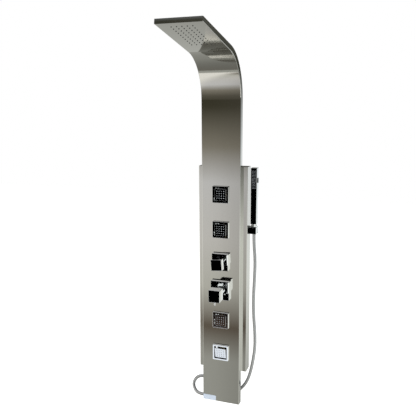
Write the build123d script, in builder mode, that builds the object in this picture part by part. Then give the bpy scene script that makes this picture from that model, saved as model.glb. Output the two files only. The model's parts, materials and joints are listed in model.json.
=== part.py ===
from build123d import *
import math
import os

os.makedirs("parts", exist_ok=True)

# ---------------------------------------------------------------- dimensions, mm
# X is to the right, -Y is out of the wall towards the bather, +Z is up.
# The wall is the plane Y = 0 and the origin is the middle of the four wall screws.
Z_BASE = -610.0          # underside of the column below the origin
T = 1.5                  # stainless sheet
COL_W, COL_D = 170.0, 28.0
WING_W, WING_D = 217.0, 50.0
WING_LO, WING_HI = 150.0, 1068.5      # heights above the column's underside
Y_F = -(COL_D + WING_D)  # front face of the column
Y_B = -WING_D            # back edge of the column, front face of the wing box
HX = COL_W / 2

TIP_Y, TIP_H = -529.0, 1582.0         # lower edge of the rain head's tip
TILT = math.radians(11.2)             # rise of the rain head towards its tip
TIP_T, ROOT_T = 18.0, 22.0            # head thickness at the tip and at the bend
R_FRONT, R_BACK = 180.0, 200.0        # bend radii, under side and top side

JET_H = [952.5, 800.5, 392.5, 240.5]  # body jets, top to bottom
DIV_H, MIX_H = 660.0, 532.5           # diverter and mixer
JET_SQ, JET_OPEN, JET_FACE = 72.0, 58.0, 50.0
DIV_SQ, MIX_SQ = 74.0, 84.0
PLATE_T = 16.0
JET4_TILT = 12.0                      # the lowest jet is aimed down at rest
DIV_TURN = 4.5                        # the diverter knob's turn at rest
HX_BAR, Y_BAR = 134.0, -32.0          # hand shower's axis
BAR_W, BAR_D = 27.5, 26.0
BAR_LO, BAR_HI = 826.0, 1065.0
HOSE_D = 14.0
SCREW_UP, SCREW_LO, SCREW_X = 990.0, 230.0, 140.0   # wall screws
HOLD_X = WING_W / 2                   # inner end of the hand shower holder
SCREW_Y = (-44.0, -20.0)              # hand shower holder's screws


def z(h):
    """Height above the column's underside to the row frame."""
    return h + Z_BASE


def out(x, y, h, tilt=0.0):
    """A plane that faces out of the wall, tipped down by tilt degrees."""
    a = math.radians(tilt)
    return Plane(origin=(x, y, z(h)), x_dir=(1, 0, 0), z_dir=(0, -math.cos(a), -math.sin(a)))


def save(part, name):
    part.part.label = name
    export_step(part.part, f"parts/{name}.step")


# ---------------------------------------------------------------- side profiles
D = (-math.cos(TILT), math.sin(TILT))   # along the head, towards its tip
N = (math.sin(TILT), math.cos(TILT))    # up through the head


def head(s, n):
    """Point in the YZ plane, s back from the tip and n up from the underside."""
    return (TIP_Y - D[0] * s + N[0] * n, TIP_H - D[1] * s + N[1] * n)


def meet(y, p, d):
    """Height at which the line through p along d reaches the given Y."""
    return p[1] + (y - p[0]) * d[1] / d[0]


corner_f = (Y_F, meet(Y_F, (TIP_Y, TIP_H), D))
bend_len = R_FRONT * math.tan((math.pi / 2 - TILT) / 2)
bend_s = math.hypot(corner_f[0] - TIP_Y, corner_f[1] - TIP_H) - bend_len
top_a, top_b = head(0, TIP_T), head(bend_s, ROOT_T)
DB = (top_a[0] - top_b[0], top_a[1] - top_b[1])
DB = (DB[0] / math.hypot(*DB), DB[1] / math.hypot(*DB))
NB = (DB[1], -DB[0])                    # up, out of the head's top


def back_line(n, s=0.0):
    """Three points of the back and top surface, moved in by n, ending s short of the tip."""
    a = (top_a[0] - NB[0] * n - DB[0] * s, top_a[1] - NB[1] * n - DB[1] * s)
    y = Y_B - n
    return a, (y, meet(y, a, DB))


def yz(p):
    return (p[0], z(p[1]))


# ---------------------------------------------------------------- column panel
with BuildPart() as column_panel:
    with BuildSketch(Plane.YZ):
        a, c = back_line(0)
        with BuildLine():
            FilletPolyline((Y_F, z(0)), yz(corner_f), (TIP_Y, z(TIP_H)), radius=R_FRONT)
            Line((TIP_Y, z(TIP_H)), yz(a))
            FilletPolyline(yz(a), yz(c), (Y_B, z(0)), radius=R_BACK)
            Line((Y_B, z(0)), (Y_F, z(0)))
        make_face()
    extrude(amount=HX, both=True)

    def on_front(e):
        p = e @ 0.5
        if abs(abs(p.X) - HX) > 0.01:
            return False
        arc = math.hypot(p.Y - (Y_F - R_FRONT), p.Z - z(corner_f[1] - bend_len))
        line = (p.Y - TIP_Y) * N[0] + (p.Z - z(TIP_H)) * N[1]
        return abs(p.Y - Y_F) < 0.01 or abs(arc - R_FRONT) < 0.01 or abs(line) < 0.01

    fillet(column_panel.edges().filter_by(on_front), 2.0)
    with BuildSketch(Plane.YZ):
        tip_in = head(T, T)
        cf = (Y_F + T, meet(Y_F + T, tip_in, D))
        up = head(T, 60)
        with BuildLine():
            FilletPolyline((Y_F + T, z(T)), yz(cf), yz(tip_in), radius=R_FRONT + T)
            Polyline(yz(tip_in), yz(up), (Y_B + 60, z(1700)), (Y_B + 60, z(T)), (Y_F + T, z(T)))
        make_face()
    extrude(amount=HX - T, both=True, mode=Mode.SUBTRACT)
    # square windows for the body jets, round holes for the two valves
    for h in JET_H:
        with BuildSketch(out(0, Y_F - 1, h)):
            RectangleRounded(61, 61, 2)
        extrude(amount=-5, mode=Mode.SUBTRACT)
    for h, r in ((DIV_H, 16.0), (MIX_H, 19.0)):
        with BuildSketch(out(0, Y_F - 1, h)):
            Circle(r)
        extrude(amount=-5, mode=Mode.SUBTRACT)
    # rain nozzle holes
    head_plane = Plane(origin=(0, TIP_Y, z(TIP_H)), x_dir=(1, 0, 0), z_dir=(0, -N[0], -N[1]))
    with BuildSketch(head_plane.offset(1)):
        with Locations((0, -(34.5 + 21.4 * 4.5))):
            with GridLocations(19.2, 21.4, 5, 10):
                Circle(2.1)
    extrude(amount=-4, mode=Mode.SUBTRACT)
    # slot in the left side, open at the back, for the hand shower's hose
    with BuildSketch(Plane(origin=(-HX - 1, -58.5, z(13.5)), x_dir=(0, 1, 0), z_dir=(1, 0, 0))):
        RectangleRounded(29, 18, 5)
    extrude(amount=4, mode=Mode.SUBTRACT)
save(column_panel, "column_panel")

# blank silver plate on the face's lower left corner
with BuildPart() as corner_plate:
    with BuildSketch(out(-54, Y_F, 12.8)):
        RectangleRounded(60, 24, 3)
    extrude(amount=0.8)
save(corner_plate, "corner_plate")

# ---------------------------------------------------------------- back cover of neck and head
with BuildPart() as arm_cover:
    with BuildSketch(Plane.YZ):
        a0, c0 = back_line(0.3, T + 0.2)
        a1, c1 = back_line(1.7, T + 0.2)
        with BuildLine():
            FilletPolyline(yz(a0), yz(c0), (c0[0], z(WING_HI + 1)), radius=R_BACK - 0.3)
            Line((c0[0], z(WING_HI + 1)), (c1[0], z(WING_HI + 1)))
            FilletPolyline((c1[0], z(WING_HI + 1)), yz(c1), yz(a1), radius=R_BACK - 1.7)
            Line(yz(a1), yz(a0))
        make_face()
    extrude(amount=HX - T - 0.2, both=True)
save(arm_cover, "arm_cover")

# ---------------------------------------------------------------- wing box
wing_h = WING_HI - WING_LO
wing_mid = (WING_HI + WING_LO) / 2
with BuildPart() as wing_panel:
    with Locations((0, -WING_D / 2, z(wing_mid))):
        Box(WING_W, WING_D, wing_h)
    fillet(wing_panel.edges().filter_by(Axis.Z).group_by(Axis.Y)[0], 2.0)
    with Locations((0, -WING_D / 2, z(wing_mid))):
        Box(WING_W - 2 * T, WING_D - 2 * T, wing_h - 2 * T, mode=Mode.SUBTRACT)
    # open back, with a 10 mm lip all round
    with Locations((0, -1, z(wing_mid))):
        Box(WING_W - 20, 4, wing_h - 20, mode=Mode.SUBTRACT)
    # window in the front, behind the column
    with Locations((0, Y_B, z(wing_mid))):
        Box(140, 6, wing_h - 40, mode=Mode.SUBTRACT)
    # screw holes of the hand shower holder, in the right side
    for y in SCREW_Y:
        with BuildSketch(Plane(origin=(100, y, z(798.5)), z_dir=(1, 0, 0))):
            Circle(2.0)
        extrude(amount=10, mode=Mode.SUBTRACT)
save(wing_panel, "wing_panel")

# ---------------------------------------------------------------- wall brackets and hanger rails
with BuildPart() as wall_brackets:
    for h in (SCREW_UP, SCREW_LO):
        with BuildSketch(Plane.YZ):
            with BuildLine():
                Polyline((0, z(h - 18)), (0, z(h + 14)), (-5.5, z(h + 14)), (-5.5, z(h + 24)), (-7, z(h + 24)),
                         (-7, z(h + 12.5)), (-2, z(h + 12.5)), (-2, z(h - 18)), close=True)
            make_face()
        extrude(amount=92, both=True)
        with BuildSketch(out(0, 0, h)):
            with GridLocations(SCREW_X, 1, 2, 1):
                Circle(2.75)
        extrude(amount=5, mode=Mode.SUBTRACT)
save(wall_brackets, "wall_brackets")

with BuildPart() as hanger_rails:
    for h in (SCREW_UP, SCREW_LO):
        with BuildSketch(Plane.YZ):
            with BuildLine():
                Polyline((-4.7, z(h + 15)), (-4.7, z(h + 24)), (-10.5, z(h + 24)), (-10.5, z(h + 2)), (-12, z(h + 2)),
                         (-12, z(h + 25.5)), (-3.2, z(h + 25.5)), (-3.2, z(h + 15)), close=True)
            make_face()
        extrude(amount=WING_W / 2 - T, both=True)
save(hanger_rails, "hanger_rails")

# ---------------------------------------------------------------- rain head internals
TRAY_S0, TRAY_S1 = 20.0, 244.0
X_FEED, N_FEED = -42.0, 8.0
tray_plane = Plane(origin=(0, TIP_Y, z(TIP_H)), x_dir=(1, 0, 0), z_dir=(0, N[0], N[1]))
# local y of tray_plane runs from the tip towards the wall
with BuildPart() as rain_tray:
    with BuildSketch(tray_plane.offset(1.6)):
        with Locations((0, (TRAY_S0 + TRAY_S1) / 2)):
            Rectangle(120, TRAY_S1 - TRAY_S0)
    extrude(amount=11)
    with BuildSketch(tray_plane.offset(3.6)):
        with Locations((0, (TRAY_S0 + TRAY_S1) / 2)):
            Rectangle(116, TRAY_S1 - TRAY_S0 - 4)
    extrude(amount=12, mode=Mode.SUBTRACT)
    with BuildSketch(tray_plane.offset(1)):
        with Locations((0, 34.5 + 21.4 * 4.5)):
            with GridLocations(19.2, 21.4, 5, 10):
                Circle(2.0)
    extrude(amount=4, mode=Mode.SUBTRACT)
    spigot = Plane(origin=(X_FEED, *yz(head(TRAY_S1, N_FEED))), x_dir=(1, 0, 0), z_dir=(0, -D[0], -D[1]))
    with BuildSketch(spigot):
        Circle(5.5)
    extrude(amount=16)
    with BuildSketch(spigot.offset(-3)):
        Circle(3.8)
    extrude(amount=25, mode=Mode.SUBTRACT)
save(rain_tray, "rain_tray")

with BuildPart() as rain_tray_lid:
    with BuildSketch(tray_plane.offset(12.65)):
        with Locations((0, (TRAY_S0 + TRAY_S1) / 2)):
            Rectangle(120, TRAY_S1 - TRAY_S0)
    extrude(amount=2)
save(rain_tray_lid, "rain_tray_lid")

with BuildPart() as rain_nozzles:
    with BuildSketch(tray_plane.offset(-1.3)):
        with Locations((0, 34.5 + 21.4 * 4.5)):
            with GridLocations(19.2, 21.4, 5, 10):
                Circle(1.95)
                Circle(0.7, mode=Mode.SUBTRACT)
    extrude(amount=5.5)
save(rain_nozzles, "rain_nozzles")


def tube(path_points, radii, r, bore, start_dir):
    """A round tube along straight runs joined by tangent arcs."""
    with BuildPart() as t:
        with BuildLine() as path:
            if radii:
                FilletPolyline(*path_points, radius=radii)
            else:
                Line(*path_points)
        with BuildSketch(Plane(origin=path_points[0], z_dir=start_dir)):
            Circle(r)
            if bore:
                Circle(bore, mode=Mode.SUBTRACT)
        sweep(path=path.line)
    return t, sum(e.length for e in path.edges())


# feed pipe from the diverter to the rain tray
y_feed = Y_F + N_FEED
end_feed = head(TRAY_S1 + 16, N_FEED)
feed_corner = (y_feed, meet(y_feed, end_feed, D))
feed, feed_len = tube(
    [(0, y_feed, z(690)), (0, y_feed, z(714)), (X_FEED, y_feed, z(750)), (X_FEED, y_feed, z(feed_corner[1])),
     (X_FEED, *yz(end_feed))],
    [20, 20, R_FRONT + N_FEED], 5.5, 3.8, (0, 0, 1))
save(feed, "rain_feed_pipe")
print("feed pipe volume", feed.part.volume, "expected", math.pi * (5.5**2 - 3.8**2) * feed_len)

# ---------------------------------------------------------------- body jets
Y_PIVOT = Y_F + 3.0      # ball centre of each jet
Y_WAY = -56.0            # centre plane of the side connections
BALL_R = 10.0


def jet(i, h, tilt):
    # square trim cup, clipped through the window in the column
    with BuildPart() as frame:
        with BuildSketch(out(0, Y_F, h)):
            RectangleRounded(JET_SQ, JET_SQ, 3)
        extrude(amount=8)
        fillet(frame.faces().sort_by(Axis.Y)[0].edges(), 1.5)
        with BuildSketch(out(0, Y_F, h)):
            RectangleRounded(60.4, 60.4, 1.5)
        extrude(amount=-12)
        with BuildSketch(out(0, Y_F + 10, h)):
            RectangleRounded(JET_OPEN, JET_OPEN, 1.5)
        extrude(amount=20, mode=Mode.SUBTRACT)
        with BuildSketch(out(0, Y_F + 15, h)):
            Circle(16.8)
            with GridLocations(46, 46, 2, 2):
                Circle(1.6)
        extrude(amount=10, mode=Mode.SUBTRACT)
    save(frame, f"jet_{i}_frame")

    # water housing behind the column
    with BuildPart() as housing:
        with BuildSketch(out(0, -66, h)):
            Circle(16.5)
        extrude(amount=12.0)
        chamfer(housing.faces().sort_by(Axis.Y)[0].edges(), 1.5)
        with BuildSketch(out(0, -66, h)):
            Circle(20)
        extrude(amount=-26)
        with BuildSketch(out(0, -40, h)):
            Circle(12)
        extrude(amount=-8)
        with BuildSketch(Plane(origin=(0, Y_WAY, z(h)), z_dir=(1, 0, 0))):
            Circle(7)
        extrude(amount=30)
        with Locations((0, Y_PIVOT, z(h))):
            Sphere(BALL_R + 2.6, mode=Mode.SUBTRACT)
        with BuildSketch(out(0, -68, h)):
            Circle(6)
        extrude(amount=-20, mode=Mode.SUBTRACT)
        with BuildSketch(Plane(origin=(0, Y_WAY, z(h)), z_dir=(1, 0, 0))):
            Circle(4)
        extrude(amount=31, mode=Mode.SUBTRACT)
    save(housing, f"jet_{i}_housing")

    # rubber seal ring that the ball turns in
    with BuildPart() as seal:
        with Locations((0, Y_PIVOT, z(h))):
            Sphere(BALL_R + 2.3)
            Sphere(BALL_R + 0.3, mode=Mode.SUBTRACT)
        with BuildSketch(out(0, Y_PIVOT - 2.5, h)):
            Circle(20)
        extrude(amount=30, mode=Mode.SUBTRACT)
        with BuildSketch(out(0, Y_PIVOT + 8.5, h)):
            Circle(20)
        extrude(amount=-30, mode=Mode.SUBTRACT)
    save(seal, f"jet_{i}_seal")

    # swivelling square face on its ball
    def at(d):
        return out(0, Y_PIVOT, h, tilt).offset(d)

    with BuildPart() as face:
        with BuildSketch(at(8)):
            RectangleRounded(JET_FACE, JET_FACE, 2.5)
        extrude(amount=4)
        fillet(face.faces().sort_by(Axis.Y)[0].edges(), 0.8)
        with Locations((0, Y_PIVOT, z(h))):
            Sphere(BALL_R)
        with BuildSketch(at(2)):
            Circle(8.5)
        extrude(amount=7)
        with BuildSketch(at(-BALL_R - 1)):
            Circle(3.0)
        extrude(amount=19, mode=Mode.SUBTRACT)
        with BuildSketch(at(10.2)):
            with GridLocations(10.0, 10.0, 4, 4):
                Circle(1.75)
        extrude(amount=4, mode=Mode.SUBTRACT)
    save(face, f"jet_{i}_face")

    with BuildPart() as nozzles:
        with BuildSketch(at(10.2)):
            with GridLocations(10.0, 10.0, 4, 4):
                Circle(1.7)
        extrude(amount=2.9)
        with BuildSketch(at(11.5)):
            with GridLocations(10.0, 10.0, 4, 4):
                Circle(0.6)
        extrude(amount=4, mode=Mode.SUBTRACT)
    save(nozzles, f"jet_{i}_nozzles")


for n, (h, tilt) in enumerate(zip(JET_H, (0.0, 0.0, 0.0, JET4_TILT)), 1):
    jet(n, h, tilt)

# ring nuts that hold the housings to the trim cups
with BuildPart() as jet_ring_nuts:
    for h in JET_H:
        with BuildSketch(out(0, Y_F + 9.95, h)):
            Circle(20)
            Circle(16.55, mode=Mode.SUBTRACT)
        extrude(amount=3.5)
save(jet_ring_nuts, "jet_ring_nuts")

# clamp trays that pull the trim cups against the column from behind
with BuildPart() as jet_clamps:
    for h in JET_H:
        with BuildSketch(out(0, Y_F + 13.5, h)):
            Rectangle(70, 70)
            Circle(20.3, mode=Mode.SUBTRACT)
            with GridLocations(46, 46, 2, 2):
                Circle(1.5, mode=Mode.SUBTRACT)
        extrude(amount=1.45)
        with BuildSketch(out(0, Y_F + 12.05, h)):
            Rectangle(70, 70)
            Rectangle(67, 67, mode=Mode.SUBTRACT)
        extrude(amount=10.5)
save(jet_clamps, "jet_clamps")

with BuildPart() as jet_screws:
    for h in JET_H:
        with BuildSketch(out(0, Y_F + 10, h)):
            with GridLocations(46, 46, 2, 2):
                Circle(2.6)
        extrude(amount=1.6)
        with BuildSketch(out(0, Y_F + 10, h)):
            with GridLocations(46, 46, 2, 2):
                Circle(1.45)
        extrude(amount=-6)
        with BuildSketch(out(0, Y_F + 9.2, h)):
            with GridLocations(46, 46, 2, 2):
                RegularPolygon(1.2, 6)
        extrude(amount=2, mode=Mode.SUBTRACT)
save(jet_screws, "jet_screws")

# manifold that feeds the four jets from the diverter
with BuildPart() as jet_manifold:
    with Locations((62, Y_WAY, z((JET_H[0] + JET_H[3]) / 2))):
        Cylinder(6, JET_H[0] - JET_H[3] + 12)
    for h in JET_H + [DIV_H]:
        with BuildSketch(Plane(origin=(30.1, Y_WAY, z(h)), z_dir=(1, 0, 0))):
            Circle(6)
        extrude(amount=31.9)
save(jet_manifold, "jet_manifold")

# ---------------------------------------------------------------- diverter
with BuildPart() as diverter_plate:
    with BuildSketch(out(0, Y_F, DIV_H)):
        RectangleRounded(DIV_SQ, DIV_SQ, 2.5)
    extrude(amount=PLATE_T)
    fillet(diverter_plate.faces().sort_by(Axis.Y)[0].edges(), 1.2)
    with BuildSketch(out(0, Y_F, DIV_H)):
        RectangleRounded(DIV_SQ - 5, DIV_SQ - 5, 1.5)
    extrude(amount=PLATE_T - 2.5, mode=Mode.SUBTRACT)
    with BuildSketch(out(0, Y_F, DIV_H)):
        Circle(15.2)
    extrude(amount=PLATE_T + 1, mode=Mode.SUBTRACT)
save(diverter_plate, "diverter_plate")

with BuildPart() as diverter_body:
    with BuildSketch(out(0, -75.5, DIV_H)):
        Circle(22)
    extrude(amount=-46)
    with BuildSketch(Plane(origin=(0, y_feed, z(DIV_H + 18)))):
        Circle(6.3)
    extrude(amount=12)
    with BuildSketch(Plane(origin=(0, Y_WAY, z(DIV_H)), z_dir=(1, 0, 0))):
        Circle(7)
    extrude(amount=30)
    with BuildSketch(Plane(origin=(0, -64, z(DIV_H)), z_dir=(-1, 0, 0))):
        Circle(7)
    extrude(amount=30)
    with BuildSketch(Plane(origin=(0, -50, z(DIV_H)), z_dir=(0, 0, -1))):
        Circle(9)
    extrude(amount=32)
    with BuildSketch(out(0, -76, DIV_H)):
        Circle(15.05)
    extrude(amount=-37, mode=Mode.SUBTRACT)
save(diverter_body, "diverter_body")

with BuildPart() as diverter_cartridge:
    with BuildSketch(out(0, -97, DIV_H)):
        Circle(14.95)
        Circle(6.05, mode=Mode.SUBTRACT)
    extrude(amount=-57.8)
save(diverter_cartridge, "diverter_cartridge")

with BuildPart() as diverter_stem:
    with BuildSketch(out(0, -132, DIV_H)):
        Circle(6.0)
    extrude(amount=-88)
save(diverter_stem, "diverter_stem")

a = math.radians(DIV_TURN)
knob_plane = Plane(origin=(0, -98, z(DIV_H)), x_dir=(math.cos(a), 0, math.sin(a)), z_dir=(0, -1, 0))
with BuildPart() as diverter_knob:
    with BuildSketch(knob_plane.offset(21)):
        RectangleRounded(48, 48, 1.8)
    extrude(amount=24)
    fillet(diverter_knob.faces().sort_by(Axis.Y)[0].edges(), 1.2)
    with BuildSketch(knob_plane.offset(20)):
        RectangleRounded(42, 42, 1)
    extrude(amount=20, mode=Mode.SUBTRACT)
    with BuildSketch(knob_plane):
        Circle(10)
    extrude(amount=42)
    with BuildSketch(knob_plane):
        Circle(6.0)
    extrude(amount=34, mode=Mode.SUBTRACT)
    with BuildSketch(Plane(origin=(0, -108, z(DIV_H)), z_dir=(0, 0, -1))):
        Circle(2.0)
    extrude(amount=20, mode=Mode.SUBTRACT)
save(diverter_knob, "diverter_knob")

with BuildPart() as diverter_grub_screw:
    with BuildSketch(Plane(origin=(0, -108, z(DIV_H - 6.05)), z_dir=(0, 0, -1))):
        Circle(1.95)
    extrude(amount=3.6)
    with BuildSketch(Plane(origin=(0, -108, z(DIV_H - 8.2)), z_dir=(0, 0, -1))):
        RegularPolygon(1.1, 6)
    extrude(amount=4, mode=Mode.SUBTRACT)
save(diverter_grub_screw, "diverter_grub_screw")

# ---------------------------------------------------------------- mixer
Y_BALL = -99.0
INLET_R = 9.3            # G1/2 female thread, bore radius
with BuildPart() as mixer_plate:
    with BuildSketch(out(0, Y_F, MIX_H)):
        RectangleRounded(MIX_SQ, MIX_SQ, 2.5)
    extrude(amount=PLATE_T)
    fillet(mixer_plate.faces().sort_by(Axis.Y)[0].edges(), 1.2)
    with BuildSketch(out(0, Y_F, MIX_H)):
        RectangleRounded(MIX_SQ - 5, MIX_SQ - 5, 1.5)
    extrude(amount=PLATE_T - 2.5, mode=Mode.SUBTRACT)
    with BuildSketch(out(0, Y_F, MIX_H)):
        Circle(17.0)
    extrude(amount=PLATE_T + 1, mode=Mode.SUBTRACT)
save(mixer_plate, "mixer_plate")

with BuildPart() as mixer_body:
    with BuildSketch(out(0, -75.5, MIX_H)):
        Circle(24)
    extrude(amount=-52)
    with BuildSketch(Plane(origin=(-50, -36, z(MIX_H)), z_dir=(1, 0, 0))):
        Circle(11)
    extrude(amount=100)
    for x in (-50, 50):
        with Locations((x, -36, z(MIX_H))):
            Sphere(11)
        with BuildSketch(out(x, -36, MIX_H)):
            Circle(11)
        extrude(amount=-9)
        with BuildSketch(out(x, -28, MIX_H)):
            RegularPolygon(15, 6)
        extrude(amount=-18)
        with BuildSketch(out(x, -24, MIX_H)):
            Circle(INLET_R)
        extrude(amount=-15, mode=Mode.SUBTRACT)
        with BuildSketch(out(x, -34, MIX_H)):
            Circle(6)
        extrude(amount=-12, mode=Mode.SUBTRACT)
    with BuildSketch(Plane(origin=(0, -50, z(MIX_H)))):
        Circle(9)
    extrude(amount=36)
    with BuildSketch(out(0, -76, MIX_H)):
        Circle(17.05)
    extrude(amount=-42, mode=Mode.SUBTRACT)
save(mixer_body, "mixer_body")

with BuildPart() as mixer_cartridge:
    with BuildSketch(out(0, -84.0, MIX_H)):
        Circle(16.9)
        Circle(10.06, mode=Mode.SUBTRACT)
    extrude(amount=-49.5)
save(mixer_cartridge, "mixer_cartridge")

# turning collar: a tail in the cartridge and a ball cup in front of the plate
with BuildPart() as mixer_collar:
    with BuildSketch(out(0, -94.6, MIX_H)):
        Circle(19)
    extrude(amount=9.9)
    fillet(mixer_collar.faces().sort_by(Axis.Y)[0].edges(), 1.5)
    with BuildSketch(out(0, -95, MIX_H)):
        Circle(16.4)
    extrude(amount=-10.7)
    with BuildSketch(out(0, -85, MIX_H)):
        Circle(10.0)
    extrude(amount=-35)
    with Locations((0, Y_BALL, z(MIX_H))):
        Sphere(12.3, mode=Mode.SUBTRACT)
save(mixer_collar, "mixer_collar")

with BuildPart() as mixer_knob:
    with BuildSketch(out(0, -131, MIX_H)):
        RectangleRounded(50, 53, 1.8)
    extrude(amount=43)
    fillet(mixer_knob.faces().sort_by(Axis.Y)[0].edges(), 1.2)
    with BuildSketch(out(0, -130, MIX_H)):
        RectangleRounded(43, 46, 1)
    extrude(amount=40, mode=Mode.SUBTRACT)
    with BuildSketch(out(0, Y_BALL, MIX_H)):
        Circle(7)
    extrude(amount=73)
    with Locations((0, Y_BALL, z(MIX_H))):
        Sphere(12)
    with BuildSketch(Plane(origin=(0, -164, z(MIX_H - 20)), z_dir=(0, 0, -1))):
        Circle(4.6)
    extrude(amount=4)
    with BuildSketch(Plane(origin=(0, -164, z(MIX_H - 20.5)), z_dir=(0, 0, -1))):
        Circle(2.2)
    extrude(amount=10, mode=Mode.SUBTRACT)
save(mixer_knob, "mixer_knob")

with BuildPart() as mixer_lever:
    with BuildSketch(Plane(origin=(0, -164, z(MIX_H - 21)), z_dir=(0, 0, -1))):
        Circle(2.15)
    extrude(amount=6)
    with BuildSketch(Plane(origin=(0, -164, z(MIX_H - 26.6)), z_dir=(0, 0, -1))):
        Circle(2.9)
    extrude(amount=16)
    fillet(mixer_lever.faces().sort_by(Axis.Z)[0].edges(), 1.0)
save(mixer_lever, "mixer_lever")

# pipe from the mixer up to the diverter
with BuildPart() as link_pipe:
    with BuildSketch(Plane(origin=(0, -50, z(MIX_H + 36)))):
        Circle(7.5)
        Circle(5.5, mode=Mode.SUBTRACT)
    extrude(amount=DIV_H - 32 - MIX_H - 36)
save(link_pipe, "link_pipe")

# ---------------------------------------------------------------- hand shower outlet at the foot
UN_Y, UN_H = -64.0, 13.5
with BuildPart() as outlet_union:
    with BuildSketch(Plane(origin=(-61.5, UN_Y, z(UN_H)), z_dir=(1, 0, 0))):
        Circle(11.3)
    extrude(amount=36)
    fillet(outlet_union.faces().sort_by(Axis.X)[-1].edges(), 2.0)
    with BuildSketch(Plane(origin=(-50, UN_Y, z(UN_H)))):
        Circle(7.5)
    extrude(amount=28)
    with BuildSketch(Plane(origin=(-61.5, UN_Y, z(UN_H)), z_dir=(-1, 0, 0))):
        Circle(8.0)
        Circle(5.0, mode=Mode.SUBTRACT)
    extrude(amount=8)
save(outlet_union, "outlet_union")

handset_pipe, _ = tube(
    [(-30, UN_Y, z(DIV_H)), (-50, UN_Y, z(DIV_H)), (-50, UN_Y, z(UN_H + 28))], [14], 6.0, 4.0, (-1, 0, 0))
save(handset_pipe, "handset_feed_pipe")

with BuildPart() as outlet_strap:
    with Locations((10.75, -51.9, z(13))):
        Box(145.5, 1.5, 22)
save(outlet_strap, "outlet_strap")

with BuildPart() as hose_outlet_nut:
    with BuildSketch(Plane(origin=(-61.7, UN_Y, z(UN_H)), z_dir=(-1, 0, 0))):
        RegularPolygon(12.0, 6)
    extrude(amount=10)
    with BuildSketch(Plane(origin=(-71.7, UN_Y, z(UN_H)), z_dir=(-1, 0, 0))):
        Circle(10.4)
    extrude(amount=12, taper=8)
    with BuildSketch(Plane(origin=(-61, UN_Y, z(UN_H)), z_dir=(-1, 0, 0))):
        Circle(8.05)
    extrude(amount=9.2, mode=Mode.SUBTRACT)
save(hose_outlet_nut, "hose_outlet_nut")

# ---------------------------------------------------------------- hand shower
with BuildPart() as handset_body:
    with Locations((HX_BAR, Y_BAR, z((BAR_LO + BAR_HI) / 2))):
        Box(BAR_W, BAR_D, BAR_HI - BAR_LO)
    fillet(handset_body.edges().filter_by(Axis.Z), 2.0)
    fillet(handset_body.faces().sort_by(Axis.Z)[-1].edges(), 1.0)
    with BuildSketch(out(HX_BAR, Y_BAR - BAR_D / 2, 1016)):
        RectangleRounded(21, 80, 1)
    extrude(amount=-2.2, mode=Mode.SUBTRACT)
    with BuildSketch(Plane(origin=(HX_BAR + BAR_W / 2, Y_BAR - 5, z(1013)), x_dir=(0, 1, 0), z_dir=(1, 0, 0))):
        RectangleRounded(11, 20.6, 1)
    extrude(amount=-5, mode=Mode.SUBTRACT)
    # waterway up the handle and the chamber behind the spray plate
    with BuildSketch(Plane(origin=(HX_BAR, Y_BAR, z(BAR_LO - 1)))):
        Circle(7)
    extrude(amount=160, mode=Mode.SUBTRACT)
    with Locations((HX_BAR, Y_BAR - 2, z(1016))):
        Box(15, 20, 74, mode=Mode.SUBTRACT)
save(handset_body, "handset_body")

with BuildPart() as handset_faceplate:
    with BuildSketch(out(HX_BAR, Y_BAR - BAR_D / 2 + 2.1, 1016)):
        RectangleRounded(20.6, 79.6, 0.8)
        with GridLocations(4.6, 6.0, 4, 13):
            Circle(1.0, mode=Mode.SUBTRACT)
    extrude(amount=1.6)
save(handset_faceplate, "handset_faceplate")

with BuildPart() as handset_nozzles:
    with BuildSketch(out(HX_BAR, Y_BAR - BAR_D / 2 + 2.1, 1016)):
        with GridLocations(4.6, 6.0, 4, 13):
            Circle(0.95)
    extrude(amount=2.5)
save(handset_nozzles, "handset_nozzles")

# spray button in the right side of the bar
with BuildPart() as handset_button:
    with BuildSketch(Plane(origin=(HX_BAR + BAR_W / 2 - 1.5, Y_BAR - 5, z(1013)), x_dir=(0, 1, 0), z_dir=(1, 0, 0))):
        RectangleRounded(10.4, 20.0, 1)
    extrude(amount=7)
    fillet(handset_button.faces().sort_by(Axis.X)[-1].edges(), 0.8)
save(handset_button, "handset_button")

# conical collar that seats in the holder
with BuildPart() as handset_collar:
    with BuildSketch(Plane(origin=(HX_BAR, Y_BAR, z(BAR_LO)), z_dir=(0, 0, -1))):
        Circle(12.6)
    extrude(amount=4)
    with BuildSketch(Plane(origin=(HX_BAR, Y_BAR, z(BAR_LO - 4)), z_dir=(0, 0, -1))):
        Circle(11.0)
    extrude(amount=2)
    with BuildSketch(Plane(origin=(HX_BAR, Y_BAR, z(BAR_LO - 6)), z_dir=(0, 0, -1))):
        Circle(13.2)
    extrude(amount=4)
save(handset_collar, "handset_collar")

with BuildPart() as hose_cone_nut:
    with BuildSketch(Plane(origin=(HX_BAR, Y_BAR, z(BAR_LO - 10)), z_dir=(0, 0, -1))):
        Circle(12.4)
    extrude(amount=34, taper=5.5)
save(hose_cone_nut, "hose_cone_nut")

with BuildPart() as handset_holder:
    with Locations((128.0, -32.5, z(798.5))):
        Box(39, 33, 29)
    fillet(handset_holder.edges().filter_by(Axis.Z), 1.2)
    fillet(handset_holder.faces().sort_by(Axis.Z)[-1].edges(), 0.8)
    with BuildSketch(Plane(origin=(HX_BAR, Y_BAR, z(BAR_LO - 10)), z_dir=(0, 0, -1))):
        Circle(12.45)
    extrude(amount=40, taper=5.5, mode=Mode.SUBTRACT)
    # way out for the hose, on the outer side
    with Locations((HX_BAR + 10, Y_BAR, z(798.5))):
        Box(20, 15, 34, mode=Mode.SUBTRACT)
    for y in SCREW_Y:
        with BuildSketch(Plane(origin=(108, y, z(798.5)), z_dir=(1, 0, 0))):
            Circle(1.9)
        extrude(amount=9, mode=Mode.SUBTRACT)
save(handset_holder, "handset_holder")

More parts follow.
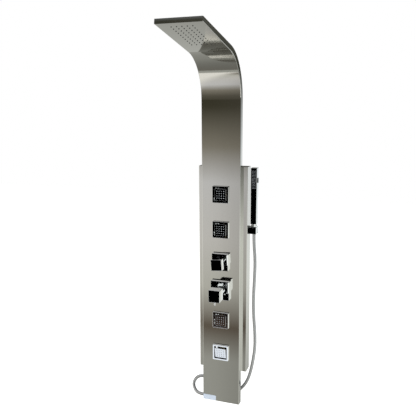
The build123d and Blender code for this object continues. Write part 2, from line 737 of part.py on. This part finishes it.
with BuildPart() as holder_screws:
    for y in SCREW_Y:
        with BuildSketch(Plane(origin=(HOLD_X + 8, y, z(798.5)), z_dir=(-1, 0, 0))):
            Circle(1.85)
        extrude(amount=9.5)
        with BuildSketch(Plane(origin=(HOLD_X - 1.5, y, z(798.5)), z_dir=(-1, 0, 0))):
            Circle(3.6)
        extrude(amount=2.4)
save(holder_screws, "holder_screws")

# ---------------------------------------------------------------- hose
HOSE = [
    (134.0, -32.0, 782.0), (134.0, -32.0, 738.0), (140.6, -31.5, 665.0), (138.4, -31.0, 585.0), (134.4, -31.0, 500.0),
    (135.4, -30.5, 418.0), (142.6, -30.0, 335.0), (143.6, -29.5, 265.0), (136.0, -29.0, 205.0), (126.0, -28.5, 152.0),
    (113.0, -28.0, 106.0), (92.0, -27.5, 66.0), (54.0, -27.0, 28.0), (0.0, -27.0, 20.0), (-44.0, -27.5, 53.0),
    (-84.0, -28.5, 86.0), (-126.0, -34.0, 85.0), (-147.0, -45.0, 51.0), (-130.0, -59.0, 21.0), (-106.0, -64.0, 13.5),
    (-83.8, -64.0, 13.5),
]
pts = [Vector(x, y, z(h)) for x, y, h in HOSE]
radii = []
for p, q, r in zip(pts, pts[1:], pts[2:]):
    turn = math.radians((q - p).get_angle(r - q))
    radii.append(0.45 * min((q - p).length, (r - q).length) / math.tan(turn / 2))
print("hose radii", [round(r) for r in radii])
print("hose runs", [round((b - a).length) for a, b in zip(pts, pts[1:])])
hose, hose_len = tube([tuple(p) for p in pts], radii, HOSE_D / 2, 0, tuple(pts[1] - pts[0]))
save(hose, "shower_hose")
print("hose length", round(hose_len), "volume", round(hose.part.volume), "expected",
      round(math.pi * 49 * hose_len))
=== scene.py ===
import json
import math
import bmesh
import bpy
from mathutils import Matrix, Vector


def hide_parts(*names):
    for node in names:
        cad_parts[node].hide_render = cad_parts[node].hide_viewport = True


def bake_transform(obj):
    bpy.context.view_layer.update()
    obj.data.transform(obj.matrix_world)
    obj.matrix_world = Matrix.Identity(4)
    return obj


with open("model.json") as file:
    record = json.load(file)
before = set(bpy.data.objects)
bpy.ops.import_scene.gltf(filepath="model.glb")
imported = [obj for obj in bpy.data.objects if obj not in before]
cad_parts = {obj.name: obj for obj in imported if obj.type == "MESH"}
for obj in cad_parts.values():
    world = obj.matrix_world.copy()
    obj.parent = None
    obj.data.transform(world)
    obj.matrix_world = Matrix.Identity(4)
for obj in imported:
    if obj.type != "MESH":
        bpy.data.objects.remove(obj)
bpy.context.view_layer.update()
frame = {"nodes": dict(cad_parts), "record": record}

scene = bpy.context.scene
nodes = frame["nodes"]


def Z(h):
    """Height above the column's underside, in mm, to the row frame, in metres."""
    return (h - 610.0) / 1000.0


# ------------------------------------------------------------------ camera
cam_data = bpy.data.cameras.new("camera")
cam_data.lens = 46.41
cam_data.sensor_width = 36.0
cam = bpy.data.objects.new("camera", cam_data)
scene.collection.objects.link(cam)
cam.location = (0.6858, -2.2060, 0.7007)
look = Vector((-0.32436, 0.92807, -0.18297)).to_track_quat("-Z", "Y").to_matrix().to_4x4()
cam.matrix_world = Matrix.Translation(cam.location) @ look @ Matrix.Rotation(math.radians(-0.27), 4, "Z")
scene.camera = cam
scene.view_settings.view_transform = "Standard"
scene.view_settings.look = "None"

# ------------------------------------------------------------------ hose
ROUTE = [
    (134.0, -32.0, 782.0), (134.0, -32.0, 738.0), (140.6, -31.5, 665.0), (138.4, -31.0, 585.0), (134.4, -31.0, 500.0),
    (135.4, -30.5, 418.0), (142.6, -30.0, 335.0), (143.6, -29.5, 265.0), (136.0, -29.0, 205.0), (126.0, -28.5, 152.0),
    (113.0, -28.0, 106.0), (92.0, -27.5, 66.0), (54.0, -27.0, 28.0), (0.0, -27.0, 20.0), (-44.0, -27.5, 53.0),
    (-84.0, -28.5, 86.0), (-126.0, -34.0, 85.0), (-147.0, -45.0, 51.0), (-130.0, -59.0, 21.0), (-106.0, -64.0, 13.5),
    (-83.8, -64.0, 13.5),
]
HOSE_R = 0.007
curve = bpy.data.curves.new("hose_line", "CURVE")
curve.dimensions = "3D"
spline = curve.splines.new("NURBS")
spline.points.add(len(ROUTE) - 1)
for p, (x, y, h) in zip(spline.points, ROUTE):
    p.co = (x / 1000, y / 1000, Z(h), 1)
spline.order_u = 3
spline.use_endpoint_u = True
spline.resolution_u = 24
line_obj = bpy.data.objects.new("hose_line", curve)
scene.collection.objects.link(line_obj)
bpy.context.view_layer.update()
line_mesh = bpy.data.meshes.new_from_object(line_obj)
line = [v.co.copy() for v in line_mesh.vertices]
bpy.data.objects.remove(line_obj)
if (line[0] - Vector((0.134, -0.032, Z(782)))).length > 0.001:
    line.reverse()
clean = [line[0]]
for p in line[1:]:
    if (p - clean[-1]).length > 1e-5:
        clean.append(p)
line = clean


def along(points, step):
    """Points a fixed distance apart along a polyline, ends included."""
    total = sum((b - a).length for a, b in zip(points, points[1:]))
    n = max(2, round(total / step))
    out, i, done = [], 0, 0.0
    seg = (points[1] - points[0]).length
    for k in range(n + 1):
        want = total * k / n
        while i < len(points) - 2 and done + seg < want:
            done += seg
            i += 1
            seg = (points[i + 1] - points[i]).length
        t = min(1.0, max(0.0, (want - done) / seg))
        out.append(points[i].lerp(points[i + 1], t))
    return out


def mesh_object(name, bm, smooth=True):
    me = bpy.data.meshes.new(name)
    bm.normal_update()
    bm.to_mesh(me)
    bm.free()
    for f in me.polygons:
        f.use_smooth = smooth
    o = bpy.data.objects.new(name, me)
    scene.collection.objects.link(o)
    return o


def sweep_tube(bm, points, radius_at, sides=20, cap=True):
    """A tube through points with a radius for each of them, turned without twist."""
    rings = []
    t0 = (points[1] - points[0]).normalized()
    ref = Vector((0, 1, 0)) if abs(t0.y) < 0.9 else Vector((1, 0, 0))
    u = t0.cross(ref).normalized()
    for i, p in enumerate(points):
        a, b = points[max(i - 1, 0)], points[min(i + 1, len(points) - 1)]
        t = (b - a).normalized()
        u = (u - t * u.dot(t)).normalized()
        v = t.cross(u)
        r = radius_at(i)
        rings.append([bm.verts.new(p + u * (r * math.cos(2 * math.pi * k / sides)) + v * (r * math.sin(2 * math.pi * k / sides)))
                      for k in range(sides)])
    for a, b in zip(rings, rings[1:]):
        for k in range(sides):
            bm.faces.new((a[k], a[(k + 1) % sides], b[(k + 1) % sides], b[k]))
    if cap:
        bm.faces.new(list(reversed(rings[0])))
        bm.faces.new(rings[-1])
    return rings


# wound metal hose: a shallow rib every 2.5 mm
RIB = 0.0025
hose_path = along(line, RIB / 4)
bm = bmesh.new()
ribs = (0.0, 0.5, 1.0, 0.5)
sweep_tube(bm, hose_path, lambda i: HOSE_R - 0.00028 + 0.00028 * ribs[i % 4], sides=24)
bmesh.ops.recalc_face_normals(bm, faces=bm.faces)
hose = mesh_object("hose_skin", bm)
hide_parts("shower_hose")
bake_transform(hose)
[tuple(p) for p in along(line, 0.004)]


# ------------------------------------------------------------------ material helpers
def fill_ramp(r, stops):
    """Give a colour ramp exactly these (position, colour) stops."""
    while len(r.elements) > 1:
        r.elements.remove(r.elements[-1])
    r.elements[0].position = stops[0][0]
    r.elements[0].color = (*stops[0][1], 1)
    for pos, c in stops[1:]:
        r.elements.new(pos).color = (*c, 1)


class Mat:
    """A node material around one Principled shader, in row coordinates."""

    def __init__(self, name, color, metallic=0.0, roughness=0.4, **sockets):
        self.m = bpy.data.materials.new(name)
        self.m.use_nodes = True
        self.nt = self.m.node_tree
        self.nt.nodes.clear()
        self.out = self.add("ShaderNodeOutputMaterial")
        self.p = self.add("ShaderNodeBsdfPrincipled")
        self.nt.links.new(self.p.outputs[0], self.out.inputs["Surface"])
        self.p.inputs["Base Color"].default_value = (*color, 1)
        self.p.inputs["Metallic"].default_value = metallic
        self.p.inputs["Roughness"].default_value = roughness
        for k, v in sockets.items():
            self.p.inputs[k.replace("_", " ")].default_value = v
        self.obj = self.add("ShaderNodeTexCoord").outputs["Object"]
        self.normal = None

    def add(self, kind, **attrs):
        n = self.nt.nodes.new(kind)
        for k, v in attrs.items():
            setattr(n, k, v)
        return n

    def link(self, a, b):
        self.nt.links.new(a, b)

    def mapped(self, scale, rotation=(0, 0, 0), source=None):
        n = self.add("ShaderNodeMapping")
        n.inputs["Scale"].default_value = scale
        n.inputs["Rotation"].default_value = rotation
        self.link(source or self.obj, n.inputs["Vector"])
        return n.outputs[0]

    def noise(self, vector, scale, detail=4.0, rough=0.55, distortion=0.0):
        n = self.add("ShaderNodeTexNoise")
        n.inputs["Scale"].default_value = scale
        n.inputs["Detail"].default_value = detail
        n.inputs["Roughness"].default_value = rough
        n.inputs["Distortion"].default_value = distortion
        self.link(vector, n.inputs["Vector"])
        return n.outputs["Fac"]

    def voronoi(self, vector, scale, feature="F1"):
        n = self.add("ShaderNodeTexVoronoi", feature=feature)
        n.inputs["Scale"].default_value = scale
        self.link(vector, n.inputs["Vector"])
        return n.outputs["Distance"]

    def ramp(self, fac, stops, interpolation="LINEAR"):
        n = self.add("ShaderNodeValToRGB")
        r = n.color_ramp
        r.interpolation = interpolation
        fill_ramp(r, [(pos, c) for pos, c in stops])
        self.link(fac, n.inputs["Fac"])
        return n.outputs["Color"]

    def math(self, op, a, b=None, clamp=False):
        n = self.add("ShaderNodeMath", operation=op, use_clamp=clamp)
        for i, v in enumerate((a, b)):
            if v is None:
                continue
            if isinstance(v, (int, float)):
                n.inputs[i].default_value = v
            else:
                self.link(v, n.inputs[i])
        return n.outputs[0]

    def range(self, fac, lo, hi, a=0.0, b=1.0):
        n = self.add("ShaderNodeMapRange")
        for k, v in (("From Min", a), ("From Max", b), ("To Min", lo), ("To Max", hi)):
            n.inputs[k].default_value = v
        self.link(fac, n.inputs["Value"])
        return n.outputs["Result"]

    def mix(self, fac, a, b, blend="MIX"):
        n = self.add("ShaderNodeMix", data_type="RGBA", blend_type=blend)
        for sock, v in (("Factor", fac), ("A", a), ("B", b)):
            s = [i for i in n.inputs if i.name == sock and i.type == ("VALUE" if sock == "Factor" else "RGBA")][0]
            if isinstance(v, (int, float)):
                s.default_value = v
            elif isinstance(v, tuple):
                s.default_value = (*v, 1)
            else:
                self.link(v, s)
        return [o for o in n.outputs if o.type == "RGBA"][0]

    def mixf(self, fac, a, b):
        n = self.add("ShaderNodeMix", data_type="FLOAT")
        for sock, v in (("Factor", fac), ("A", a), ("B", b)):
            s = [i for i in n.inputs if i.name == sock and i.type == "VALUE"][0]
            if isinstance(v, (int, float)):
                s.default_value = v
            else:
                self.link(v, s)
        return [o for o in n.outputs if o.type == "VALUE"][0]

    def bump(self, height, strength, distance):
        n = self.add("ShaderNodeBump")
        n.inputs["Strength"].default_value = strength
        n.inputs["Distance"].default_value = distance
        self.link(height, n.inputs["Height"])
        if self.normal is not None:
            self.link(self.normal, n.inputs["Normal"])
        self.normal = n.outputs["Normal"]
        self.link(self.normal, self.p.inputs["Normal"])

    def edge(self, radius):
        """1 on edges and corners within radius, 0 on open faces."""
        b = self.add("ShaderNodeBevel", samples=4)
        b.inputs["Radius"].default_value = radius
        g = self.add("ShaderNodeNewGeometry")
        d = self.add("ShaderNodeVectorMath", operation="DOT_PRODUCT")
        self.link(b.outputs[0], d.inputs[0])
        self.link(g.outputs["Normal"], d.inputs[1])
        return self.range(d.outputs["Value"], 1.0, 0.0, 0.80, 0.995)

    def color(self, socket):
        self.link(socket, self.p.inputs["Base Color"])

    def rough(self, socket):
        self.link(socket, self.p.inputs["Roughness"])


def brushed(name, color, rough, grain=1.0, across="X", tint=0.06):
    """Stainless sheet with the grain along its length: fine lines, a few deeper scratches, faint wipe marks and spots."""
    k = Mat(name, color, 1.0, rough)
    geo = k.add("ShaderNodeNewGeometry")
    sep = k.add("ShaderNodeSeparateXYZ")
    k.link(geo.outputs["Normal"], sep.inputs[0])
    side = k.range(k.math("ABSOLUTE", sep.outputs["X"]), 0.0, 1.0, 0.68, 0.74)
    if across == "X":
        front, flank = k.mapped((1, 0.012, 0.012)), k.mapped((0.05, 1, 0.012))
    else:
        front, flank = k.mapped((0.012, 1, 1)), k.mapped((0.05, 0.012, 1))
    fine = k.mixf(side, k.noise(front, 2600, 3, 0.6), k.noise(flank, 2600, 3, 0.6))
    wide = k.mixf(side, k.noise(front, 420, 3, 0.5), k.noise(flank, 420, 3, 0.5))
    wipe = k.noise(k.mapped((1, 1, 0.35)), 9, 3, 0.5, 0.6)
    spots = k.range(k.voronoi(k.mapped((1, 1, 0.8)), 95), 1.0, 0.0, 0.05, 0.16)
    spots = k.math("MULTIPLY", spots, k.range(k.noise(k.obj, 6, 2), 0.0, 1.0, 0.52, 0.72))
    tone = k.mixf(0.35, fine, wide)
    base = k.mix(k.range(tone, 0.0, 1.0, 0.3, 0.7), tuple(c * (1 - tint) for c in color), tuple(min(1, c * (1 + tint)) for c in color))
    base = k.mix(k.math("MULTIPLY", k.range(wipe, 0.0, 0.5, 0.45, 0.75), 0.25), base, tuple(c * 0.93 for c in color))
    # painted highlight: edges made brighter than the open sheet
    base = k.mix(k.math("MULTIPLY", k.edge(0.0009), 0.5), base, tuple(min(1, c * 1.2) for c in color))
    k.color(base)
    r = k.range(tone, rough * 0.75, rough * 1.3, 0.3, 0.7)
    r = k.math("ADD", r, k.range(wipe, -0.008, 0.018, 0.3, 0.75))
    r = k.math("ADD", r, k.math("MULTIPLY", spots, 0.07), clamp=True)
    k.rough(r)
    k.bump(fine, 0.14 * grain, 0.00003)
    k.bump(wide, 0.06 * grain, 0.00006)
    return k


def chrome(name, color=(0.86, 0.87, 0.88), rough=0.05, smear=0.05, haze=26):
    """Plated metal: mirror-like, with a faint orange-peel, wipe marks, a few dried water spots and a painted
    highlight that brightens the edges in patches.
    """
    k = Mat(name, color, 1.0, rough)
    wipe = k.noise(k.obj, haze, 4, 0.6, 0.8)
    spots = k.range(k.voronoi(k.obj, 210), 1.0, 0.0, 0.04, 0.13)
    spots = k.math("MULTIPLY", spots, k.range(k.noise(k.obj, 22, 2), 0.0, 1.0, 0.55, 0.7))
    r = k.range(wipe, rough * 0.6, rough + smear, 0.35, 0.75)
    r = k.math("ADD", r, k.math("MULTIPLY", spots, 0.12), clamp=True)
    k.rough(r)
    # painted highlight: edges pushed towards near-white, broken up by noise
    edge_highlight = k.math("MULTIPLY", k.edge(0.0005), k.range(k.noise(k.obj, 160, 3), 0.0, 1.0, 0.35, 0.65))
    base = k.mix(k.range(wipe, 0.0, 0.3, 0.35, 0.75), color, tuple(c * 0.95 for c in color))
    k.color(k.mix(k.math("MULTIPLY", edge_highlight, 0.35), base, (0.95, 0.95, 0.96)))
    k.bump(k.noise(k.obj, 70, 2, 0.4), 0.015, 0.0002)
    k.bump(k.math("MULTIPLY", spots, k.noise(k.obj, 900, 2)), 0.06, 0.00002)
    return k


def moulded(name, color, rough, grain_scale=2200, grain=0.25, edge_light_color=(0.5, 0.5, 0.5), sheen=0.0, subsurface=0.0):
    """Moulded plastic or rubber: fine spark-eroded texture, slow colour drift and a painted highlight that makes the
    edges paler in patches.
    """
    k = Mat(name, color, 0.0, rough)
    if subsurface:
        k.p.inputs["Subsurface Weight"].default_value = subsurface
        k.p.inputs["Subsurface Radius"].default_value = (0.001, 0.001, 0.001)
    fine = k.noise(k.obj, grain_scale, 3, 0.6)
    slow = k.noise(k.obj, 30, 4, 0.55)
    base = k.mix(k.range(slow, 0.0, 1.0, 0.35, 0.7), tuple(c * 0.88 for c in color), tuple(min(1, c * 1.08) for c in color))
    # painted highlight: edges lightened towards a paler colour, broken up by noise
    painted_edge_light = k.math("MULTIPLY", k.edge(0.0006), k.range(k.noise(k.obj, 240, 3), 0.0, 0.6, 0.35, 0.7))
    k.color(k.mix(painted_edge_light, base, edge_light_color))
    k.rough(k.math("ADD", k.range(fine, rough - 0.06, rough + 0.08, 0.3, 0.7), k.range(slow, -0.03, 0.05, 0.3, 0.7), clamp=True))
    k.bump(fine, grain, 0.00005)
    return k


def cast(name, color, dark, rough):
    """Cast and turned brass: sandy skin, brown tarnish in patches and a painted highlight that brightens the metal
    along edges.
    """
    k = Mat(name, color, 1.0, rough)
    sand = k.noise(k.obj, 1500, 4, 0.65)
    patch = k.noise(k.obj, 38, 5, 0.6, 0.4)
    base = k.mix(k.range(patch, 0.0, 0.75, 0.45, 0.72), color, dark)
    # painted highlight: edges made brighter than the open surface
    base = k.mix(k.math("MULTIPLY", k.edge(0.0007), 0.5), base, tuple(min(1, c * 1.25) for c in color))
    k.color(base)
    k.rough(k.math("ADD", k.range(patch, rough - 0.08, rough + 0.12, 0.35, 0.7), k.range(sand, -0.04, 0.06, 0.3, 0.7), clamp=True))
    k.bump(sand, 0.35, 0.00008)
    return k


M = {
    "panel_steel": brushed("panel_steel", (0.60, 0.60, 0.575), 0.065, 0.55, tint=0.03),
    "bracket_steel": brushed("bracket_steel", (0.52, 0.53, 0.55), 0.36, 3.0, "Z", 0.12),
    "plate_silver": brushed("plate_silver", (0.80, 0.85, 0.92), 0.34, 2.0, "Z", 0.05),
    "tray_plastic": moulded("tray_plastic", (0.045, 0.045, 0.05), 0.48),
    "nozzle_rubber": moulded("nozzle_rubber", (0.42, 0.45, 0.47), 0.55, 3000, 0.15, (0.8, 0.8, 0.8), subsurface=0.15),
    "nozzle_dark": moulded("nozzle_dark", (0.030, 0.034, 0.036), 0.50, 3000, 0.15, (0.12, 0.12, 0.12)),
    "seal_rubber": moulded("seal_rubber", (0.018, 0.018, 0.018), 0.62, 1800, 0.3, (0.06, 0.06, 0.06)),
    "chrome_trim": chrome("chrome_trim", rough=0.025, smear=0.02),
    "chrome_face": chrome("chrome_face", rough=0.03, smear=0.02, haze=34),
    "chrome_knob": chrome("chrome_knob", rough=0.025, smear=0.02, haze=20),
    "chrome_handset": chrome("chrome_handset", (0.84, 0.86, 0.88), rough=0.06, haze=18),
    "black_plate": moulded("black_plate", (0.012, 0.012, 0.014), 0.14, 900, 0.03, (0.09, 0.09, 0.09)),
    "brass_fitting": cast("brass_fitting", (0.66, 0.50, 0.26), (0.26, 0.17, 0.09), 0.34),
    "steel_pipe": brushed("steel_pipe", (0.56, 0.57, 0.58), 0.30, 1.0, "X", 0.08),
    "zinc_hardware": cast("zinc_hardware", (0.60, 0.62, 0.62), (0.42, 0.42, 0.40), 0.38),
    "silver_hose": chrome("silver_hose", (0.50, 0.51, 0.53), 0.16, 0.08, 60),
}
slots = {s["node"]: s["material_slot"] for s in frame["record"]["subparts"]}


def paint(o, mat):
    if o.material_slots:
        for s in o.material_slots:
            s.material = mat.m
    else:
        o.data.materials.append(mat.m)


for name, o in nodes.items():
    paint(o, M[slots[name]])
paint(hose, M["silver_hose"])

# ------------------------------------------------------------------ stage: floor, surroundings, lights
# The world is white to the camera. To the metal it is a studio: dark at eye level and above, bright just under
# the horizon and grey towards the floor.
world = bpy.data.worlds.new("studio")
scene.world = world
world.use_nodes = True
wt = world.node_tree
wt.nodes.clear()


def wnode(kind, **attrs):
    n = wt.nodes.new(kind)
    for k, v in attrs.items():
        setattr(n, k, v)
    return n


def wramp(fac, stops):
    n = wnode("ShaderNodeValToRGB")
    fill_ramp(n.color_ramp, [(0.5 + 0.5 * math.sin(math.radians(deg)), c) for deg, c in stops])
    wt.links.new(fac, n.inputs["Fac"])
    return n.outputs["Color"]


tc = wnode("ShaderNodeTexCoord")
sep = wnode("ShaderNodeSeparateXYZ")
wt.links.new(tc.outputs["Generated"], sep.inputs[0])
up = wnode("ShaderNodeMapRange")
up.inputs["From Min"].default_value = -1
wt.links.new(sep.outputs["Z"], up.inputs["Value"])
back = wramp(up.outputs[0], [
    (-90, (0.20, 0.20, 0.18)), (-60, (0.34, 0.34, 0.31)), (-30, (0.42, 0.42, 0.39)), (-18, (0.90, 0.92, 0.88)), (-5, (0.90, 0.93, 0.95)),
    (4, (0.06, 0.06, 0.045)), (35, (0.30, 0.31, 0.30)), (90, (0.9, 0.9, 0.9))])
front = wramp(up.outputs[0], [
    (-90, (0.20, 0.20, 0.18)), (-56, (0.22, 0.20, 0.17)), (-40, (0.9, 0.9, 0.86)), (-14, (1.25, 1.27, 1.2)), (-4, (0.06, 0.06, 0.05)),
    (25, (0.03, 0.035, 0.03)), (90, (0.9, 0.9, 0.9))])
face = wnode("ShaderNodeMapRange", interpolation_type="SMOOTHSTEP")
face.inputs["From Min"].default_value = -0.25
face.inputs["From Max"].default_value = 0.25
wt.links.new(sep.outputs["Y"], face.inputs["Value"])
mixed = wnode("ShaderNodeMix", data_type="RGBA")
wt.links.new(face.outputs[0], mixed.inputs[0])
wt.links.new(front, mixed.inputs[6])
wt.links.new(back, mixed.inputs[7])
lp = wnode("ShaderNodeLightPath")
seen = wnode("ShaderNodeMix", data_type="RGBA")
wt.links.new(lp.outputs["Is Camera Ray"], seen.inputs[0])
wt.links.new(mixed.outputs[2], seen.inputs[6])
seen.inputs[7].default_value = (1, 1, 1, 1)
bg = wnode("ShaderNodeBackground")
wt.links.new(seen.outputs[2], bg.inputs["Color"])
wo = wnode("ShaderNodeOutputWorld")
wt.links.new(bg.outputs[0], wo.inputs["Surface"])


def panel(name, corners, floor=False):
    bm = bmesh.new()
    bm.faces.new([bm.verts.new(c) for c in corners])
    o = mesh_object(name, bm, False)
    return o


floor = panel("floor", [(-9, -9, Z(-600)), (9, -9, Z(-600)), (9, 9, Z(-600)), (-9, 9, Z(-600))])
fm = Mat("floor_paint", (0.90, 0.90, 0.89), 0.0, 0.7)
fm.color(fm.mix(fm.range(fm.noise(fm.obj, 3, 4), 0, 1, 0.3, 0.7), (0.88, 0.88, 0.87), (0.92, 0.92, 0.91)))
fm.p.inputs["Emission Color"].default_value = (1, 1, 1, 1)
fm.p.inputs["Emission Strength"].default_value = 0.72
fm.bump(fm.noise(fm.obj, 60, 3), 0.05, 0.001)
paint(floor, fm)
floor.visible_glossy = False

# reflectors in front and to the left, unseen by the camera
def glow_card(name, corners, color_of, see_through=False):
    """A glowing plane whose colour is worked out from its own x and height."""
    o = panel(name, corners)
    k = Mat(name + "_glow", (0.0, 0.0, 0.0))
    sep = k.add("ShaderNodeSeparateXYZ")
    k.link(k.add("ShaderNodeNewGeometry").outputs["Position"], sep.inputs[0])
    glow = k.add("ShaderNodeEmission")
    k.link(color_of(k, sep.outputs["X"], sep.outputs["Z"]), glow.inputs["Color"])
    last = glow.outputs[0]
    if see_through:
        both = k.add("ShaderNodeAddShader")
        k.link(last, both.inputs[0])
        k.link(k.add("ShaderNodeBsdfTransparent").outputs[0], both.inputs[1])
        last = both.outputs[0]
    k.link(last, k.out.inputs["Surface"])
    k.nt.nodes.remove(k.p)
    o.data.materials.append(k.m)
    o.visible_camera = o.visible_diffuse = o.visible_shadow = o.visible_transmission = False
    return o


def smooth(k, v, a, b):
    """0 up to a, 1 past b, eased between."""
    n = k.add("ShaderNodeMapRange", interpolation_type="SMOOTHSTEP")
    flip = a > b
    n.inputs["From Min"].default_value = min(a, b)
    n.inputs["From Max"].default_value = max(a, b)
    n.inputs["To Min"].default_value = 1.0 if flip else 0.0
    n.inputs["To Max"].default_value = 0.0 if flip else 1.0
    k.link(v, n.inputs["Value"])
    return n.outputs["Result"]


def band(k, v, a, b, soft):
    return k.math("MULTIPLY", smooth(k, v, a - soft, a), smooth(k, v, b + soft, b))


def both(k, *masks):
    m = masks[0]
    for n in masks[1:]:
        m = k.math("MULTIPLY", m, n)
    return m


def height_ramp(k, h, stops):
    lo, hi = stops[0][0], stops[-1][0]
    return k.ramp(k.range(h, 0.0, 1.0, Z(lo), Z(hi)), [((v - lo) / (hi - lo), c) for v, c in stops])


def sheet_light(k, x, h):
    """Floor bounce, a dark gap, one tall soft box fading to a dark ceiling, and a second soft box far to the left."""
    c = height_ramp(k, h, [
        (-900, (0.45, 0.45, 0.41)), (-160, (0.46, 0.46, 0.42)), (45, (0.15, 0.12, 0.09)), (280, (0.66, 0.65, 0.59)),
        (560, (0.78, 0.76, 0.73)), (900, (0.78, 0.77, 0.77)), (1100, (0.30, 0.275, 0.225)), (1320, (0.06, 0.055, 0.035)), (1750, (0.05, 0.05, 0.035))])
    c = k.mix(k.math("MULTIPLY", smooth(k, x, -0.32, -0.08), 0.25), c, (0.10, 0.09, 0.08))
    return k.mix(both(k, smooth(k, x, -0.335, -0.50), band(k, h, Z(-80), Z(980), 0.2)), c, (1.15, 1.12, 1.05))


def low_light(k, x, h):
    """A soft box near the floor with a warm upper edge, and nothing above it."""
    return height_ramp(k, h, [
        (-1400, (0.75, 0.80, 0.88)), (-40, (0.90, 0.95, 1.0)), (60, (0.06, 0.04, 0.03)), (165, (0.0, 0.0, 0.0)), (200, (0.0, 0.0, 0.0))])


card = glow_card("reflector", [(-1.5, -0.778, Z(-900)), (0.10, -0.778, Z(-900)), (0.10, -0.778, Z(1750)), (-1.5, -0.778, Z(1750))], sheet_light)
sheet_metal = bpy.data.collections.new("sheet_metal")
for o in [nodes[n] for n in ("column_panel", "wing_panel", "arm_cover")] + [hose]:
    sheet_metal.objects.link(o)
card.light_linking.receiver_collection = sheet_metal

low = glow_card("reflector_low", [(-1.6, -0.77, Z(-1400)), (0.05, -0.77, Z(-1400)), (0.05, -0.77, Z(200)), (-1.6, -0.77, Z(200))], low_light, True)
polished = bpy.data.collections.new("polished")
for n, o in nodes.items():
    if slots[n].startswith("chrome") or n == "corner_plate":
        polished.objects.link(o)
low.light_linking.receiver_collection = polished

for name, loc, size, energy in (("key", (-1.6, -2.2, 2.6), 1.6, 34), ("fill", (2.4, -1.6, 1.4), 1.8, 16), ("top", (0.2, -0.6, 3.2), 2.2, 20)):
    l = bpy.data.lights.new(name, "AREA")
    l.size = size
    l.energy = energy
    o = bpy.data.objects.new(name, l)
    scene.collection.objects.link(o)
    o.location = loc
    o.rotation_euler = (Vector((0, -0.1, 0.1)) - Vector(loc)).to_track_quat("-Z", "Y").to_euler()
    o.visible_glossy = False
